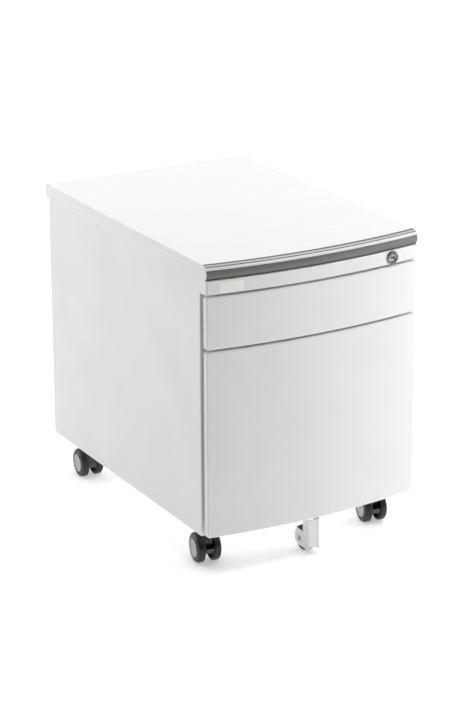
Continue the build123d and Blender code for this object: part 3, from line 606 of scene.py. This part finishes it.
def make_lock_plug(materials):
    """Bright plug in the housing: round loops stepped in to a recess, then a keyway. The keyway's loop is
    the circle scaled, at each angle, until it meets the slot's outline. A black plate a little way inside
    the keyway is painted shade: it makes the keyway read as a dark hole."""
    front, back = PLUG_LOW[1], PLUG_HIGH[1]
    angle = np.linspace(0, 2 * np.pi, 96, endpoint=False)
    circle = np.stack([np.cos(angle), np.sin(angle)], axis=-1)
    slot = np.array([4.0, 1.6]) * MM
    keyway = circle / np.abs(circle / slot).max(axis=-1, keepdims=True)
    rounds = ((6.5, back), (6.5, front + 0.4 * MM), (6.1, front), (4.8, front), (4.4, front + 0.4 * MM),
              (4.35, front + 1.2 * MM))
    loops = [(radius * MM * circle, y) for radius, y in rounds]
    loops += [(keyway, front + 1.25 * MM), (keyway, front + 16.0 * MM)]
    middle = np.array([LOCK_X, LOCK_Z])
    grid = np.stack([upright(middle + loop, y) for loop, y in loops])
    parts = [quads(grid, round_columns=True), lid(grid[0]), lid(grid[-1])]
    piece("lock_plug", parts, "lock_cylinder", materials["lock_chrome"], ["lock_core"],
          sharp=35)
    # painted shade: a black plate a little way inside the keyway darkens it like the shade of its depth
    corners = np.array([(-1, -1), (1, -1), (1, 1), (-1, 1)]) * (slot - 0.05 * MM)
    parts = eased_slab(middle + corners, front + 1.7 * MM, front + 3.2 * MM, 0.2 * MM, upright)
    piece("keyway_painted_shade_plate", parts, "lock_cylinder", materials["keyway_shade_black"], sharp=35)


def make_label(materials):
    """A small blank plate on the left of the fascia: a flat section with eased corners, carried round the
    bow."""
    x, z = (-190.5 * MM, -146.7 * MM), (522.8 * MM, 541.6 * MM)
    back, front, ease = FACE + 0.03 * MM, FACE + 0.4 * MM, 0.15 * MM
    profile = [(back, z[0]), (front - ease, z[0]), (front, z[0] + ease), (front, z[1] - ease),
               (front - ease, z[1]), (back, z[1])]
    grid = bowed(profile, np.linspace(*x, 25))
    parts = [quads(grid, round_columns=True), lid(grid[0]), lid(grid[-1])]
    piece("label_blank", parts, "cabinet", materials["label_enamel"], sharp=40)


# ---------------------------------------------------------------- camera, light and floor
def look(position, azimuth, elevation, roll):
    """A camera's matrix at position. It looks along (sine of azimuth, cosine of azimuth) times the cosine
    of elevation, and down by its sine; roll then turns its right and up about that line."""
    a, e, r = (math.radians(v) for v in (azimuth, elevation, roll))
    forward = Vector((math.sin(a) * math.cos(e), math.cos(a) * math.cos(e), -math.sin(e)))
    level = forward.cross(Vector((0, 0, 1))).normalized()
    above = level.cross(forward)
    right = math.cos(r) * level + math.sin(r) * above
    up = -math.sin(r) * level + math.cos(r) * above
    return Matrix.Translation(position) @ Matrix((right, up, -forward)).transposed().to_4x4()


def make_camera():
    """The view from the front left, a little above the top board."""
    data = bpy.data.cameras.new("camera")
    data.sensor_width = 36.0
    data.lens = 118.01
    data.shift_y = -0.15
    data.clip_end = 100.0
    camera = bpy.data.objects.new("camera", data)
    bpy.context.scene.collection.objects.link(camera)
    camera.matrix_world = look((-2.03586, -3.532588, 1.73083), 30.03, 16.874, -0.207)
    bpy.context.scene.camera = camera


LAMPS = {                            # azimuth from the front towards +X, elevation, distance, size, power
    "top": (0, 89, 3.0, 3.0, 55.5),
    "right_low": (70, 6, 3.0, 1.0, 53.0),
    "right_high": (80, 50, 3.0, 1.6, 20.8),
    "front_right_high": (50, 50, 3.0, 1.6, 15.0),
    "back_right": (120, 30, 3.0, 1.6, 8.1),
    "back": (180, 45, 3.2, 2.0, 26.4),
    "back_left_low": (-135, 20, 3.0, 1.4, 28.8),
}


def make_lamps():
    """Soft square lamps that all face the middle of the cabinet. A lamp stands at its distance times (sine
    of azimuth times cosine of elevation, minus cosine of azimuth times cosine of elevation, sine of
    elevation)."""
    target = Vector((0, 0, 0.3))
    for name, (azimuth, elevation, distance, size, power) in LAMPS.items():
        a, e = math.radians(azimuth), math.radians(elevation)
        away = Vector((math.sin(a) * math.cos(e), -math.cos(a) * math.cos(e), math.sin(e)))
        data = bpy.data.lights.new(name, "AREA")
        data.shape = "SQUARE"
        data.size = size
        data.energy = power
        lamp = bpy.data.objects.new(name, data)
        bpy.context.scene.collection.objects.link(lamp)
        turn = away.to_track_quat("Z", "Y").to_matrix().to_4x4()
        lamp.matrix_world = Matrix.Translation(target + distance * away) @ turn


FLOOR_PAINTED_GLOW = (                             # painted light, steps of the floor's own glow that lift the cabinet's shadow and whiten the floor: from, to (metres), inside, outside
    (0.6, 1.8, 0.4, 0.0),
    (0.9, 2.2, 0.0, 0.35),
    (1.6, 3.8, 0.0, 0.65),
)


def make_floor():
    """A wide white floor with its own glow, which is painted light: a soft glow under the cabinet lifts the
    cabinet's shadow, and a brighter one far out whitens the floor. Each step of the glow goes smoothly from one
    strength to another with the distance from the middle."""
    side = 40.0
    corners = np.array([(-side, -side, 0.0), (side, -side, 0.0), (side, side, 0.0), (-side, side, 0.0)])
    mesh = bpy.data.meshes.new("floor")
    mesh.from_pydata(corners.tolist(), [], [(0, 1, 2, 3)])
    ground = bpy.data.objects.new("floor", mesh)
    bpy.context.scene.collection.objects.link(ground)
    material = finish("floor_white_painted_glow", grain(60.0, detail=2.0), None,
                      [(0.3, "#f9f9f9"), (0.7, "#fbfbfb")], roughness=(0.7, 0.8), bump=0.02, depth_mm=0.05,
                      **{"Emission Color": (1.0, 1.0, 1.0, 1.0)})
    place = add(material, "ShaderNodeTexCoord")
    away = add(material, "ShaderNodeVectorMath", {"operation": "LENGTH"}, {0: (place, "Object")})
    glow = add(material, "ShaderNodeValue")
    glow.outputs["Value"].default_value = 0.0
    for start, end, inside, outside in FLOOR_PAINTED_GLOW:
        limits = {"From Min": start, "From Max": end, "To Min": inside, "To Max": outside}
        step = add(material, "ShaderNodeMapRange", {"interpolation_type": "SMOOTHSTEP", **limits},
                   {"Value": (away, "Value")})
        glow = add(material, "ShaderNodeMath", {"operation": "ADD"},
                   {0: (glow, "Value"), 1: (step, "Result")})
    shader = next(node for node in material.node_tree.nodes if node.type == "BSDF_PRINCIPLED")
    # painted light: the floor's glow stands in for light that fills the cabinet's shadow
    material.node_tree.links.new(glow.outputs["Value"], shader.inputs["Emission Strength"])
    mesh.materials.append(material)


def make_backdrop():
    """A white backdrop beyond the floor, which gives no light of its own."""
    world = bpy.data.worlds.new("studio")
    bpy.context.scene.world = world
    world.use_nodes = True
    world.node_tree.nodes["Background"].inputs["Color"].default_value = (1.0, 1.0, 1.0, 1.0)
    world.cycles_visibility.diffuse = False
    world.cycles_visibility.glossy = False


def paint_cad_nodes(materials):
    """Gives every carried-over node the material of its slot."""
    for entry in frame["record"]["subparts"]:
        node = frame["nodes"][entry["node"]]
        material = materials[entry["material_slot"]]
        if not node.material_slots:
            node.data.materials.append(material)
        for place in node.material_slots:
            place.material = material


materials = make_materials()
paint_cad_nodes(materials)
make_nosing(materials)
make_edge_bands(materials)
for castor in CASTORS:
    make_castor(castor, materials)
make_tip_wheel(materials)
make_lock_barrel(materials)
make_lock_plug(materials)
make_label(materials)
make_camera()
make_lamps()
make_floor()
make_backdrop()
bpy.context.scene.view_settings.view_transform = "Standard"
